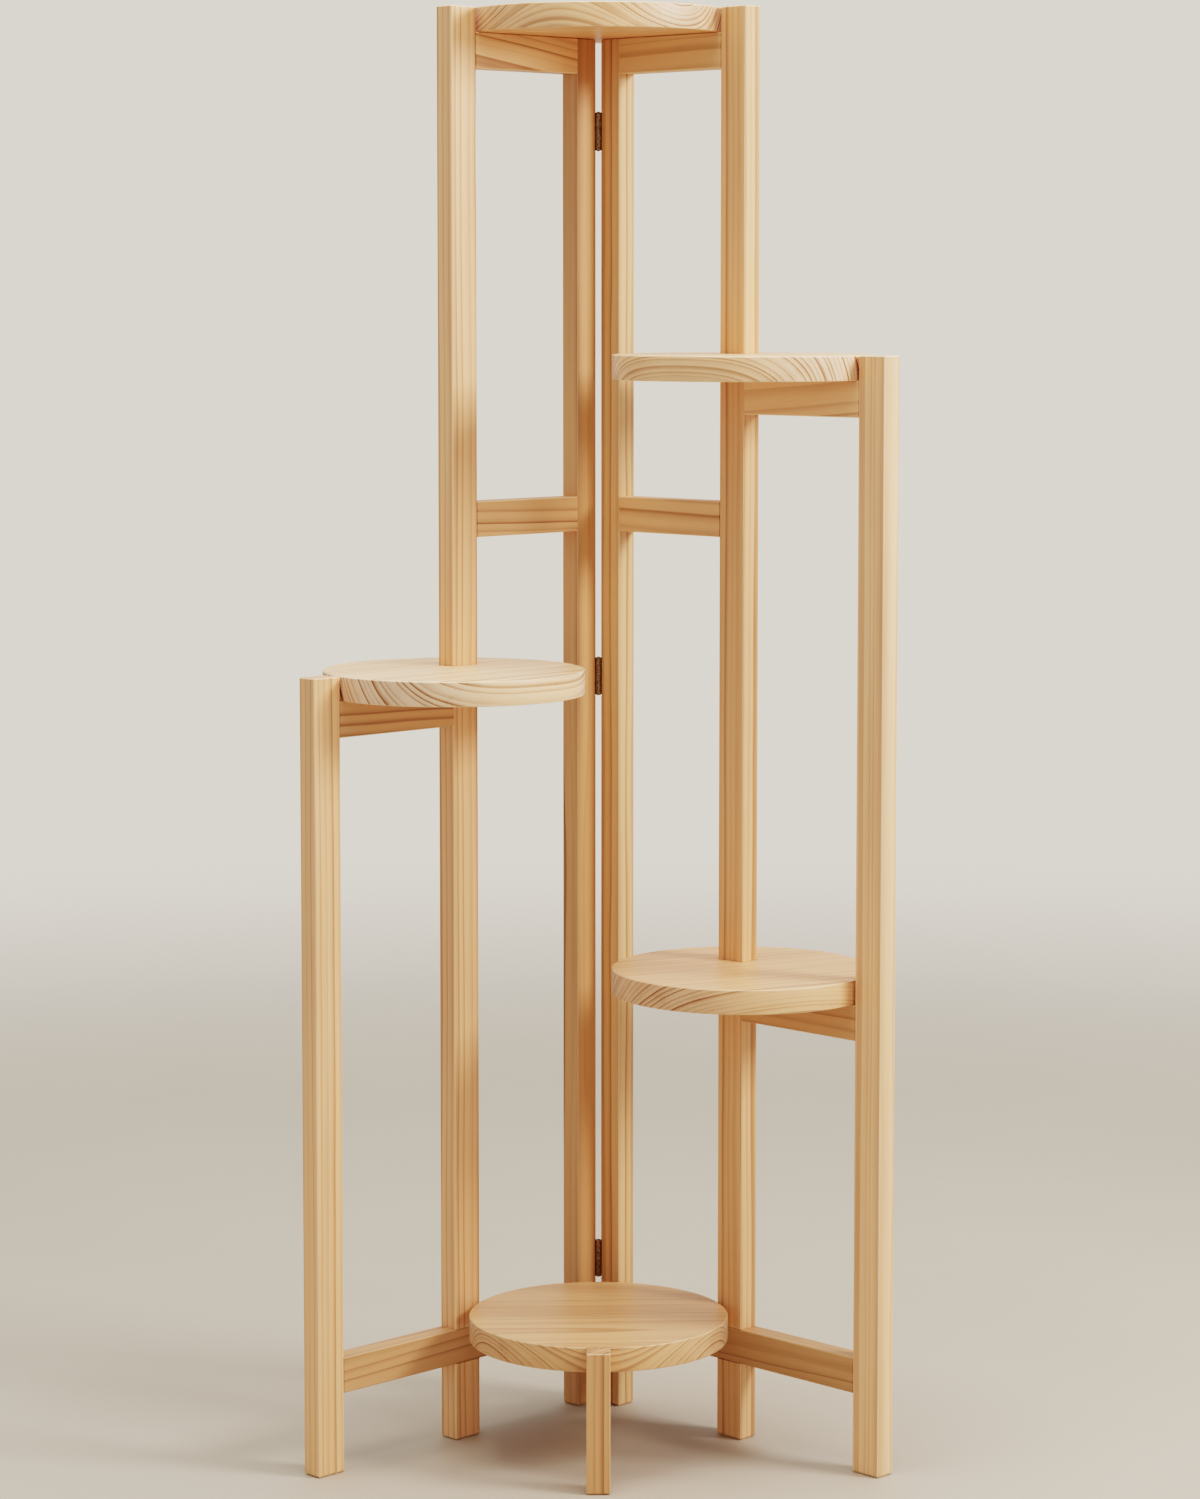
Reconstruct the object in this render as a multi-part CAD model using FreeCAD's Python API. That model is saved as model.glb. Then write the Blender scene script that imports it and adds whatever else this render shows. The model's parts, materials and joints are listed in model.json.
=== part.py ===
import FreeCAD, Part
import math
import os

# Corner plant stand. Two pine wings, each a ladder of three posts and their rails, are hinged
# together at the back and stand open at a right angle. Five round shelves hang on them: one at
# the top and one at the bottom lie loose across both wings, the other three are threaded over
# one wing's middle post, through a mortise, and screwed down on its rails. A short front leg
# carries the bottom shelf.
#
# Millimetres, +Z up. The stand faces -Y, and the origin is on the floor under the middle of its
# bounding box. Each wing is drawn flat, in its own plan, and then turned into place:
#   along   runs from the hinge pin's axis to the wing's front end
#   inward  runs across the wing, towards the inside of the corner
# The right wing is the left one's mirror image, apart from its heights.

# ---- Driving dimensions -------------------------------------------------------------------

WING_ANGLE = 90.0  # between the two wings, as the stand is stood up
WING_LENGTH = 348.0  # from the hinge pins' axis to a wing's front end

# Heights above the floor, to the shelves' top faces
TOP_SHELF_HEIGHT = 1300.0
RIGHT_UPPER_SHELF_HEIGHT = 992.0
LEFT_SHELF_HEIGHT = 712.0
RIGHT_LOWER_SHELF_HEIGHT = 443.0
BOTTOM_SHELF_HEIGHT = 126.0
MIDDLE_RAIL_HEIGHT = 843.0  # to the middle rails' centre line

# Posts and rails
POST_WIDTH = 30.0  # along the wing: middle and outer posts
BACK_POST_WIDTH = 24.0
POST_THICKNESS = 20.0  # across the wing
RAIL_DEPTH = 32.0  # top edge to bottom edge
RAIL_THICKNESS = 20.0
BACK_BAY = 127.0  # clear width between the back and the middle post
CORNER_SETBACK = 1.5  # the wings' inner faces lie this far outside the pin's axis
ARRIS = 0.8  # eased long edges of posts, rails and leg
FOOT_CHAMFER = 2.0

# Shelves
SHELF_RADIUS = 117.0
SHELF_THICKNESS = 22.0
SHELF_EASE = 1.2
SIDE_SHELF_REACH = 20.0  # from a wing's inner face to its shelves' centre
BOTTOM_SHELF_BEARING = 5.2  # how far the bottom shelf's rim laps over the bottom rails

# Front leg
LEG_WIDTH = 21.0
LEG_DEPTH = 21.0
LEG_SEAT = 1.0  # depth of the housing in the bottom shelf's rim that the leg is glued into

# Rails are tenoned into the posts
TENON_LENGTH = 13.0
TENON_THICKNESS = 8.0
TENON_SHOULDER = 4.0  # from the rail's top and bottom edges to the tenon

# The leg is dowelled to the bottom shelf's rim
DOWEL_RADIUS = 3.0
DOWEL_BITE = 13.0  # into each of the two pieces
DOWEL_SPACING = 10.0

# Shelf screws, driven up through the rails
SHELF_SCREW_RADIUS = 2.0
SHELF_SCREW_BITE = 13.0  # how far the screw goes into the shelf
SHELF_SCREW_HEAD_RADIUS = 3.8
SHELF_SCREW_HEAD_HEIGHT = 2.6
COUNTERBORE_RADIUS = 4.6
COUNTERBORE_DEPTH = 12.0
SHELF_SCREW_SETBACK = 35.0  # from the outer bay's posts

# Hinges
UPPER_HINGE_DROP = 83.7  # from the back posts' tops to the upper hinge's middle
MIDDLE_HINGE_HEIGHT = 691.0
LOWER_HINGE_HEIGHT = 139.0
HINGE_LENGTH = 35.0
KNUCKLE_COUNT = 3
KNUCKLE_RADIUS = 2.8
PIN_RADIUS = 1.3
PIN_OVERHANG = 0.5  # past each end knuckle
LEAF_THICKNESS = 1.2
LEAF_WIDTH = 16.0  # of the part that lies on the post
LEAF_CORNER = 1.2
LEAF_GAP = 0.6  # between the two leaves when the wings stand in line
HINGE_SCREW_RADIUS = 1.25
HINGE_SCREW_HEAD_RADIUS = 2.4
HINGE_SCREW_LENGTH = 14.0
HINGE_SCREW_SPACING = 20.0

# Clearances
SHELF_SEAT_GAP = 0.3  # loose shelves over the rails
MORTISE_FIT = 0.5  # a side shelf's mortise round the middle post
NOTCH_GAP = 1.5  # a loose shelf's rim to the middle posts, which move past it
OUTER_POST_GAP = 2.0  # a side shelf's rim to the outer post's corner
TOP_POST_GAP = 2.3  # the top shelf's rim to the middle posts' corners
JOINT_FIT = 0.1  # round tenons, in half-laps and in the leg's housing
TENON_END_GAP = 0.5
DOWEL_FIT = 0.05  # on the radius
DOWEL_END_GAP = 0.5
PIN_FIT = 0.05  # on the radius
KNUCKLE_GAP = 0.3  # between neighbouring knuckles
KNUCKLE_RELIEF = 0.4  # round the knuckles, in leaves and posts
SCREW_FIT = 0.1  # on the radius
SCREW_END_GAP = 0.5

# Screws and dowels are the many small rounds, so they and their holes have flat sides
SMALL_ROUND_SIDES = 12

# Working values that leave no mark on the stand
OVERCUT = 1.0  # how far a cutting shape stands past the face it opens
TOUCH = 1e-6  # closer than this counts as the same place
PARALLEL = 0.999  # cosine above which an edge counts as running along an axis

# ---- Sizes that follow --------------------------------------------------------------------

HALF_ANGLE = math.radians(WING_ANGLE / 2)

INNER_FACE = -CORNER_SETBACK
RAIL_MIDDLE = INNER_FACE - RAIL_THICKNESS / 2

BACK_POST_START = LEAF_GAP / 2 + LEAF_THICKNESS
BACK_POST_END = BACK_POST_START + BACK_POST_WIDTH
MIDDLE_POST_START = BACK_POST_END + BACK_BAY
MIDDLE_POST_END = MIDDLE_POST_START + POST_WIDTH
OUTER_POST_START = WING_LENGTH - POST_WIDTH

SHELF_SCREW_PLACES = (
    MIDDLE_POST_END + SHELF_SCREW_SETBACK,
    OUTER_POST_START - SHELF_SCREW_SETBACK,
)

# The hinge leaves lie on the back posts' back end faces.
LEAF_EDGE = INNER_FACE - LEAF_WIDTH

# The top and bottom rails carry the loose shelves, with a little air between them.
TOP_RAIL_TOP = TOP_SHELF_HEIGHT - SHELF_THICKNESS - SHELF_SEAT_GAP
BOTTOM_RAIL_TOP = BOTTOM_SHELF_HEIGHT - SHELF_THICKNESS - SHELF_SEAT_GAP

HINGE_HEIGHTS = {
    "upper": TOP_RAIL_TOP - UPPER_HINGE_DROP,
    "middle": MIDDLE_HINGE_HEIGHT,
    "lower": LOWER_HINGE_HEIGHT,
}

# A side shelf stands in front of its wing, just clear of the outer post's corner.
SIDE_SHELF_INWARD = INNER_FACE + SIDE_SHELF_REACH
SIDE_SHELF_ALONG = OUTER_POST_START - math.sqrt(
    (SHELF_RADIUS + OUTER_POST_GAP) ** 2 - SIDE_SHELF_REACH**2
)

# The middle post's corner, in front of the hinge and off the middle plane, limits the top shelf.
POST_CORNER_SIDE = MIDDLE_POST_START * math.sin(HALF_ANGLE) - INNER_FACE * math.cos(HALF_ANGLE)
POST_CORNER_FRONT = MIDDLE_POST_START * math.cos(HALF_ANGLE) + INNER_FACE * math.sin(HALF_ANGLE)
TOP_SHELF_SPREAD = (SHELF_RADIUS + TOP_POST_GAP) ** 2 - POST_CORNER_SIDE**2
TOP_SHELF_FRONT = POST_CORNER_FRONT - math.sqrt(max(TOP_SHELF_SPREAD, 0.0))

# The bottom shelf's rim laps over both bottom rails, and the leg stands in its front.
BOTTOM_SHELF_FRONT = (INNER_FACE + SHELF_RADIUS - BOTTOM_SHELF_BEARING) / math.sin(HALF_ANGLE)
LEG_BACK = BOTTOM_SHELF_FRONT + SHELF_RADIUS - LEG_SEAT

# The bounding box runs from the leg's front face to the top shelf's back edge.
STAND_FRONT = LEG_BACK + LEG_DEPTH
STAND_BACK = TOP_SHELF_FRONT - SHELF_RADIUS
HINGE_Y = (STAND_FRONT + STAND_BACK) / 2

Z_AXIS = FreeCAD.Vector(0, 0, 1)
ALONG_AXIS = FreeCAD.Vector(1, 0, 0)
INTO_CORNER = FreeCAD.Vector(0, 1, 0)
ORIGIN = FreeCAD.Vector(0, 0, 0)

MADE = {}


# ---- Helpers ------------------------------------------------------------------------------


def block(low_along, high_along, low_inward, high_inward, low_z, high_z):
    """A box in a wing's plan, from its two corners."""
    return Part.makeBox(
        high_along - low_along,
        high_inward - low_inward,
        high_z - low_z,
        FreeCAD.Vector(low_along, low_inward, low_z),
    )


def rod(radius, start, length):
    """An upright round bar from a start point."""
    return Part.makeCylinder(radius, length, FreeCAD.Vector(*start))


def ring_of_corners(radius, height):
    """The corners of a small round's outline, at a height."""
    step = 2 * math.pi / SMALL_ROUND_SIDES
    return [
        FreeCAD.Vector(radius * math.cos(n * step), radius * math.sin(n * step), height)
        for n in range(SMALL_ROUND_SIDES)
    ]


def flat_face(corners):
    """The flat face with these corners."""
    return Part.Face(Part.makePolygon(corners + corners[:1]))


def small_rod(radius, start, length, direction=ALONG_AXIS, end_radius=None):
    """A small round bar with flat sides, straight or tapering to another radius."""
    near = ring_of_corners(radius, 0)
    far = ring_of_corners(radius if end_radius is None else end_radius, length)
    sides = [
        flat_face([near[n - 1], near[n], far[n], far[n - 1]]) for n in range(SMALL_ROUND_SIDES)
    ]
    bar = Part.Solid(Part.Shell([flat_face(near), *sides, flat_face(far)]))
    bar.Placement = FreeCAD.Placement(
        FreeCAD.Vector(*start), FreeCAD.Rotation(Z_AXIS, direction)
    )
    return bar


def edges_along(shape, direction):
    """The straight edges of a shape that run in a direction."""
    return [
        edge
        for edge in shape.Edges
        if abs(edge.tangentAt(edge.FirstParameter).dot(direction)) > PARALLEL
    ]


def edges_at_height(shape, height):
    """The edges of a shape that lie flat at a height."""
    return [
        edge
        for edge in shape.Edges
        if max(abs(edge.BoundBox.ZMin - height), abs(edge.BoundBox.ZMax - height)) < TOUCH
    ]


def stood_timber(low_along, high_along, low_inward, high_inward, top):
    """A post or leg on the floor: eased long edges and top, and a chamfered foot."""
    timber = block(low_along, high_along, low_inward, high_inward, 0, top)
    eased = timber.makeChamfer(ARRIS, edges_along(timber, Z_AXIS) + edges_at_height(timber, top))
    footed = timber.makeChamfer(FOOT_CHAMFER, edges_at_height(timber, 0))
    return eased.common(footed).removeSplitter()


def turned_into_place(shape, side):
    """Turns a piece from a wing's plan into the stand: mirrored first for the right wing."""
    if side == "right":
        placed = shape.mirror(ORIGIN, FreeCAD.Vector(0, 1, 0))
        turn = math.degrees(HALF_ANGLE) - 90
    else:
        placed = shape.copy()
        turn = -90 - math.degrees(HALF_ANGLE)
    placed.rotate(ORIGIN, Z_AXIS, turn)
    placed.translate(FreeCAD.Vector(0, HINGE_Y, 0))
    return placed


def keep(name, *shapes):
    """Files the finished solids of one node under its name."""
    solids = [solid for shape in shapes for solid in shape.Solids]
    MADE[name] = solids[0] if len(solids) == 1 else Part.makeCompound(solids)


# ---- Posts, rails and their joints ---------------------------------------------------------


def rail(start, end, centre_z):
    """One rail between two posts, flush with their inner faces, without its tenons."""
    outer_face = INNER_FACE - RAIL_THICKNESS
    low_z = centre_z - RAIL_DEPTH / 2
    bar = block(start, end, outer_face, INNER_FACE, low_z, low_z + RAIL_DEPTH)
    return bar.makeChamfer(ARRIS, edges_along(bar, ALONG_AXIS))


def tenons(start, end, centre_z, fit=0.0, end_gap=0.0):
    """A rail's tenons as one bar through the rail, or their mortises when a fit is given."""
    reach = TENON_LENGTH + end_gap
    half_thickness = TENON_THICKNESS / 2 + fit
    half_depth = RAIL_DEPTH / 2 - TENON_SHOULDER + fit
    return block(
        start - reach,
        end + reach,
        RAIL_MIDDLE - half_thickness,
        RAIL_MIDDLE + half_thickness,
        centre_z - half_depth,
        centre_z + half_depth,
    )


def half_lap(centre_z):
    """What the bottom rail and the middle post each lose where they cross.

    The rail keeps its inner half, so that it runs unbroken along the inside of the wing."""
    low_z = centre_z - RAIL_DEPTH / 2
    behind = INNER_FACE - max(POST_THICKNESS, RAIL_THICKNESS) - OVERCUT
    out_of_rail = block(
        MIDDLE_POST_START - JOINT_FIT,
        MIDDLE_POST_END + JOINT_FIT,
        behind,
        RAIL_MIDDLE + JOINT_FIT / 2,
        low_z - OVERCUT,
        low_z + RAIL_DEPTH + OVERCUT,
    )
    out_of_post = block(
        MIDDLE_POST_START - OVERCUT,
        MIDDLE_POST_END + OVERCUT,
        RAIL_MIDDLE - JOINT_FIT / 2,
        INNER_FACE + OVERCUT,
        low_z - JOINT_FIT,
        low_z + RAIL_DEPTH + JOINT_FIT,
    )
    return out_of_rail, out_of_post


# ---- Hinges ---------------------------------------------------------------------------------


def knuckle_spans(leaf):
    """Low and high z of a leaf's knuckles, round the hinge's own middle.

    The left leaf has the outer ones, and those of the right leaf lie between."""
    pitch = HINGE_LENGTH / KNUCKLE_COUNT
    bottom = -HINGE_LENGTH / 2
    first = 0 if leaf == "left" else 1
    return [
        (bottom + n * pitch + KNUCKLE_GAP / 2, bottom + (n + 1) * pitch - KNUCKLE_GAP / 2)
        for n in range(first, KNUCKLE_COUNT, 2)
    ]


def hinge_leaf(leaf):
    """One leaf with its knuckles, in the wing's plan, round the hinge's own middle."""
    half = HINGE_LENGTH / 2
    inner, outer = LEAF_GAP / 2, LEAF_GAP / 2 + LEAF_THICKNESS
    edge = -(KNUCKLE_RADIUS + KNUCKLE_RELIEF)
    plate = block(inner, outer, LEAF_EDGE, edge, -half, half)
    corners = [e for e in edges_along(plate, ALONG_AXIS) if e.CenterOfMass.y < LEAF_EDGE + TOUCH]
    plate = plate.makeChamfer(LEAF_CORNER, corners)
    for low, high in knuckle_spans(leaf):
        plate = plate.fuse(block(inner, outer, edge - OVERCUT, 0, low, high))
        plate = plate.fuse(rod(KNUCKLE_RADIUS, (0, 0, low), high - low))
    bore = rod(PIN_RADIUS + PIN_FIT, (0, 0, -half - OVERCUT), HINGE_LENGTH + 2 * OVERCUT)
    plate = plate.cut(bore)
    for screw in hinge_screws(SCREW_FIT):
        plate = plate.cut(screw)
    return plate.removeSplitter()


def hinge_pin():
    """The pin, a little longer than the knuckles."""
    length = HINGE_LENGTH + 2 * PIN_OVERHANG
    return rod(PIN_RADIUS, (0, 0, -length / 2), length)


def hinge_screws(fit=0.0, end_gap=0.0):
    """The two countersunk screws of a leaf, or their holes when a fit is given."""
    head, shank = HINGE_SCREW_HEAD_RADIUS + fit, HINGE_SCREW_RADIUS + fit
    head_depth = HINGE_SCREW_HEAD_RADIUS - HINGE_SCREW_RADIUS
    across = (LEAF_EDGE - KNUCKLE_RADIUS) / 2
    screws = []
    for step in (-1, 1):
        start = (LEAF_GAP / 2, across, step * HINGE_SCREW_SPACING / 2)
        screw = small_rod(head, start, head_depth, end_radius=shank)
        screw = screw.fuse(small_rod(shank, start, HINGE_SCREW_LENGTH + end_gap))
        screws.append(screw.removeSplitter())
    return screws


def hinge_cuts():
    """What the back post loses at each hinge: a cove round the knuckles, and the screws' holes."""
    cuts = []
    cove = KNUCKLE_RADIUS + KNUCKLE_RELIEF
    half_length = HINGE_LENGTH / 2 + PIN_OVERHANG + KNUCKLE_RELIEF
    for middle in HINGE_HEIGHTS.values():
        cuts.append(rod(cove, (0, 0, middle - half_length), 2 * half_length))
        cuts += [raised(screw, middle) for screw in hinge_screws(SCREW_FIT, SCREW_END_GAP)]
    return cuts


def raised(shape, height):
    """A copy of a shape, lifted."""
    lifted = shape.copy()
    lifted.translate(FreeCAD.Vector(0, 0, height))
    return lifted


# ---- Shelves --------------------------------------------------------------------------------


def disc(x, y, top):
    """A round board with eased edges."""
    board = rod(SHELF_RADIUS, (x, y, top - SHELF_THICKNESS), SHELF_THICKNESS)
    rims = [e for e in board.Edges if isinstance(e.Curve, Part.Circle)]
    return board.makeChamfer(SHELF_EASE, rims)


def post_room(top, gap, depth):
    """The room that a shelf leaves round the middle post, to a depth behind the inner face."""
    return block(
        MIDDLE_POST_START - gap,
        MIDDLE_POST_END + gap,
        INNER_FACE - depth,
        INNER_FACE + gap,
        top - SHELF_THICKNESS - OVERCUT,
        top + OVERCUT,
    )


def shelf_screws(top, fit=0.0, end_gap=0.0):
    """The screws up through a shelf's rail, or their holes when a fit is given."""
    seat = top - SHELF_THICKNESS - RAIL_DEPTH + COUNTERBORE_DEPTH
    length = RAIL_DEPTH - COUNTERBORE_DEPTH + SHELF_SCREW_BITE
    screws = []
    for along in SHELF_SCREW_PLACES:
        shank = small_rod(
            SHELF_SCREW_RADIUS + fit, (along, RAIL_MIDDLE, seat), length + end_gap, Z_AXIS
        )
        head = small_rod(
            SHELF_SCREW_HEAD_RADIUS,
            (along, RAIL_MIDDLE, seat - SHELF_SCREW_HEAD_HEIGHT),
            SHELF_SCREW_HEAD_HEIGHT,
            Z_AXIS,
        )
        screws.append(shank if fit else head.fuse(shank).removeSplitter())
    return screws


def counterbores(top):
    """The wide holes in a shelf rail's under edge that let the screws' heads in."""
    under = top - SHELF_THICKNESS - RAIL_DEPTH
    return [
        small_rod(
            COUNTERBORE_RADIUS,
            (along, RAIL_MIDDLE, under - OVERCUT),
            COUNTERBORE_DEPTH + OVERCUT,
            Z_AXIS,
        )
        for along in SHELF_SCREW_PLACES
    ]


def loose_shelf(front, top):
    """A shelf across both wings, notched only if it would come too near a middle post."""
    board = disc(0, HINGE_Y - front, top)
    for side in ("left", "right"):
        near_post = post_room(top, NOTCH_GAP, POST_THICKNESS + NOTCH_GAP)
        board = board.cut(turned_into_place(near_post, side))
    return board


# ---- Wings ----------------------------------------------------------------------------------


def build_wing(side, shelves):
    """Posts, rails, shelves and fixings of one wing. shelves maps a name to its top's height."""
    top_z = TOP_RAIL_TOP - RAIL_DEPTH / 2
    bottom_z = BOTTOM_RAIL_TOP - RAIL_DEPTH / 2
    places = {
        "top_rail": (BACK_POST_END, MIDDLE_POST_START, top_z),
        "middle_rail": (BACK_POST_END, MIDDLE_POST_START, MIDDLE_RAIL_HEIGHT),
        "bottom_rail": (BACK_POST_END, OUTER_POST_START, bottom_z),
    }
    for name, top in shelves.items():
        centre_z = top - SHELF_THICKNESS - RAIL_DEPTH / 2
        places[name + "_rail"] = (MIDDLE_POST_END, OUTER_POST_START, centre_z)
    rails = {name: rail(*place).fuse(tenons(*place)) for name, place in places.items()}

    posts = {
        "back_post": (BACK_POST_START, BACK_POST_END, TOP_RAIL_TOP),
        "middle_post": (MIDDLE_POST_START, MIDDLE_POST_END, TOP_SHELF_HEIGHT),
        "outer_post": (OUTER_POST_START, WING_LENGTH, max(shelves.values())),
    }
    lap_in_rail, lap_in_post = half_lap(bottom_z)
    cuts = {"back_post": hinge_cuts(), "middle_post": [lap_in_post], "outer_post": []}
    for name, (start, end, top) in posts.items():
        post = stood_timber(start, end, INNER_FACE - POST_THICKNESS, INNER_FACE, top)
        for rail_name, place in places.items():
            if name != "middle_post" or rail_name != "bottom_rail":
                post = post.cut(tenons(*place, JOINT_FIT, TENON_END_GAP))
        for cut in cuts[name]:
            post = post.cut(cut)
        keep(f"{side}_{name}", turned_into_place(post, side))

    screws = []
    for name, top in shelves.items():
        holes = shelf_screws(top, SCREW_FIT, SCREW_END_GAP)
        board = disc(SIDE_SHELF_ALONG, SIDE_SHELF_INWARD, top)
        board = board.cut(post_room(top, MORTISE_FIT, POST_THICKNESS + MORTISE_FIT))
        for hole in holes:
            board = board.cut(hole)
        for hole in holes + counterbores(top):
            rails[name + "_rail"] = rails[name + "_rail"].cut(hole)
        keep(f"{side}_{name}", turned_into_place(board, side))
        screws += shelf_screws(top)
    keep(f"{side}_shelf_screws", *[turned_into_place(screw, side) for screw in screws])

    rails["bottom_rail"] = rails["bottom_rail"].cut(lap_in_rail)
    for name, bar in rails.items():
        keep(f"{side}_{name}", turned_into_place(bar.removeSplitter(), side))


def build_hinges():
    """Three butt hinges between the back posts. The pins stay with the left wing."""
    screws = {"left": [], "right": []}
    for name, middle in HINGE_HEIGHTS.items():
        for side in ("left", "right"):
            leaf = raised(hinge_leaf(side), middle)
            keep(f"{name}_hinge_{side}_leaf", turned_into_place(leaf, side))
            screws[side] += [raised(screw, middle) for screw in hinge_screws()]
        keep(f"{name}_hinge_pin", turned_into_place(raised(hinge_pin(), middle), "left"))
    for side, group in screws.items():
        keep(f"{side}_hinge_screws", *[turned_into_place(screw, side) for screw in group])


def build_loose_shelves():
    """The top shelf, and the bottom shelf with its front leg."""
    keep("top_shelf", loose_shelf(TOP_SHELF_FRONT, TOP_SHELF_HEIGHT))

    back = HINGE_Y - LEG_BACK
    side = LEG_WIDTH / 2
    leg = stood_timber(-side, side, back - LEG_DEPTH, back, BOTTOM_SHELF_HEIGHT)
    shelf = loose_shelf(BOTTOM_SHELF_FRONT, BOTTOM_SHELF_HEIGHT)
    under = BOTTOM_SHELF_HEIGHT - SHELF_THICKNESS
    housing = block(
        -side - JOINT_FIT,
        side + JOINT_FIT,
        back - LEG_DEPTH,
        back,
        under - OVERCUT,
        BOTTOM_SHELF_HEIGHT + OVERCUT,
    )
    shelf = shelf.cut(housing)
    dowels = []
    middle = under + SHELF_THICKNESS / 2
    for step in (-1, 1):
        x = step * DOWEL_SPACING / 2
        reach = DOWEL_BITE + DOWEL_END_GAP
        start = (x, back - reach, middle)
        hole = small_rod(DOWEL_RADIUS + DOWEL_FIT, start, 2 * reach, INTO_CORNER)
        leg = leg.cut(hole)
        shelf = shelf.cut(hole)
        start = (x, back - DOWEL_BITE, middle)
        dowels.append(small_rod(DOWEL_RADIUS, start, 2 * DOWEL_BITE, INTO_CORNER))
    keep("bottom_shelf", shelf)
    keep("front_leg", leg)
    keep("front_leg_dowels", *dowels)


build_wing("left", {"shelf": LEFT_SHELF_HEIGHT})
build_wing(
    "right",
    {"upper_shelf": RIGHT_UPPER_SHELF_HEIGHT, "lower_shelf": RIGHT_LOWER_SHELF_HEIGHT},
)
build_hinges()
build_loose_shelves()

os.makedirs("parts", exist_ok=True)
whole = FreeCAD.BoundBox()
for name, shape in MADE.items():
    shape.exportStep(f"parts/{name}.step")
    whole.add(shape.BoundBox)
    print(f"{name:24s} {len(shape.Solids):2d} solids {shape.Volume:12.1f} mm3 {shape.isValid()}")
print(f"{len(MADE)} nodes, hinge axis at y = {HINGE_Y:.4f}")
print(f"{whole.XLength:.2f} wide, {whole.YLength:.2f} deep, {whole.ZLength:.2f} high")
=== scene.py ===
# %% [markdown]
# # A corner plant stand in pine
#
# Two ladders of pine posts and rails are hinged together at the back, and five round
# shelves hang on them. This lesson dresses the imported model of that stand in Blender: it
# keeps the timbers where they are, turns new round shelves and hinges over the plain
# ones, mixes a pine that shows its growth rings, and sets up a small studio.
#
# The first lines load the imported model. Everything after them is placed from it.

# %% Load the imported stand
import json
import math

import bmesh
import bpy
from mathutils import Matrix, Vector


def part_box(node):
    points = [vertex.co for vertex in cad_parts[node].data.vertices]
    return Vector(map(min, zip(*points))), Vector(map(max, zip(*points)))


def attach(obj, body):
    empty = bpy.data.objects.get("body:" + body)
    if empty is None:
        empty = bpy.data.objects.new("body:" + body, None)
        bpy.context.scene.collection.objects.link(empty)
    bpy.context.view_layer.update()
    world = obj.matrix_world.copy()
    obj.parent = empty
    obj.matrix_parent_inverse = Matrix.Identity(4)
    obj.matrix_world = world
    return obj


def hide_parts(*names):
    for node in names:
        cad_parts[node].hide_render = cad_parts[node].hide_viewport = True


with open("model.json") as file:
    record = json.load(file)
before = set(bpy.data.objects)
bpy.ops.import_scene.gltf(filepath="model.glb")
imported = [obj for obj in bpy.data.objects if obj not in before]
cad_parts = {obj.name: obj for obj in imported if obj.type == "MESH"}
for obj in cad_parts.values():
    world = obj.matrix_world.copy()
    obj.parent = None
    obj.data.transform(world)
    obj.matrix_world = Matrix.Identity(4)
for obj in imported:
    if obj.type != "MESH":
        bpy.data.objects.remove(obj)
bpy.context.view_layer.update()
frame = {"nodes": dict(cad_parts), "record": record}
nodes = frame["nodes"]
body_of_node = {
    name: body
    for body, names in frame["record"]["behaviour"]["bodies"].items()
    for name in names
}
MM = 0.001

# %% [markdown]
# ## The camera
#
# The camera stands about three and a half metres in front of the stand, a little above
# its middle, and looks slightly down. It could be placed by eye. Its place here comes
# from fitting the corners of the posts and the edges of the shelves to where they are in
# the picture, which also gives the focal length.

# %% The camera
PICTURE = (1200, 1499)  # pixels
FOCAL_PIXELS = 3948.7
OPTICAL_CENTRE = (598.4, 660.0)  # pixels, from the picture's upper left corner
CAMERA_PLACE = Vector((0.0, -3.5436, 1.0461))
CAMERA_DOWN = math.radians(5.31)

camera_data = bpy.data.cameras.new("camera")
camera_data.sensor_width = 36.0
camera_data.lens = FOCAL_PIXELS * camera_data.sensor_width / PICTURE[1]
camera_data.shift_x = (PICTURE[0] / 2 - OPTICAL_CENTRE[0]) / PICTURE[1]
camera_data.shift_y = (OPTICAL_CENTRE[1] - PICTURE[1] / 2) / PICTURE[1]
camera = bpy.data.objects.new("camera", camera_data)
camera.location = CAMERA_PLACE
camera.rotation_euler = (math.radians(90) - CAMERA_DOWN, 0, 0)
bpy.context.scene.collection.objects.link(camera)
bpy.context.scene.camera = camera
print("lens", round(camera_data.lens, 1), "mm, shift", round(camera_data.shift_y, 3))

# %% [markdown]
# ## The directions of the stand
#
# Every board of a wing lies along that wing, so the wood's grain needs the wing's
# direction. The hinge pins stand on the axis that both wings start from, and the boxes
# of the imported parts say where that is.

# %% Directions
UP = Vector((0, 0, 1))
pin_low, pin_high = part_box("upper_hinge_pin")
hinge_axis = (pin_low + pin_high) / 2
hinge_axis.z = 0
HALF_TURN = math.radians(45)  # each wing's angle from the middle plane
ALONG = {
    "left": Vector((-math.sin(HALF_TURN), -math.cos(HALF_TURN), 0)),
    "right": Vector((math.sin(HALF_TURN), -math.cos(HALF_TURN), 0)),
}
# across a wing, from its outer face towards the space between the wings
INWARD = {
    "left": Vector((math.cos(HALF_TURN), -math.sin(HALF_TURN), 0)),
    "right": Vector((-math.cos(HALF_TURN), -math.sin(HALF_TURN), 0)),
}
print("hinge axis at y", round(hinge_axis.y, 4))

# %% [markdown]
# ## Small helpers for node trees
#
# Shader trees and geometry trees are made of the same kind of nodes. One helper adds a
# node with its settings and inputs, and others add a sum or mix two colours, so that the
# trees below read like recipes.


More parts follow.
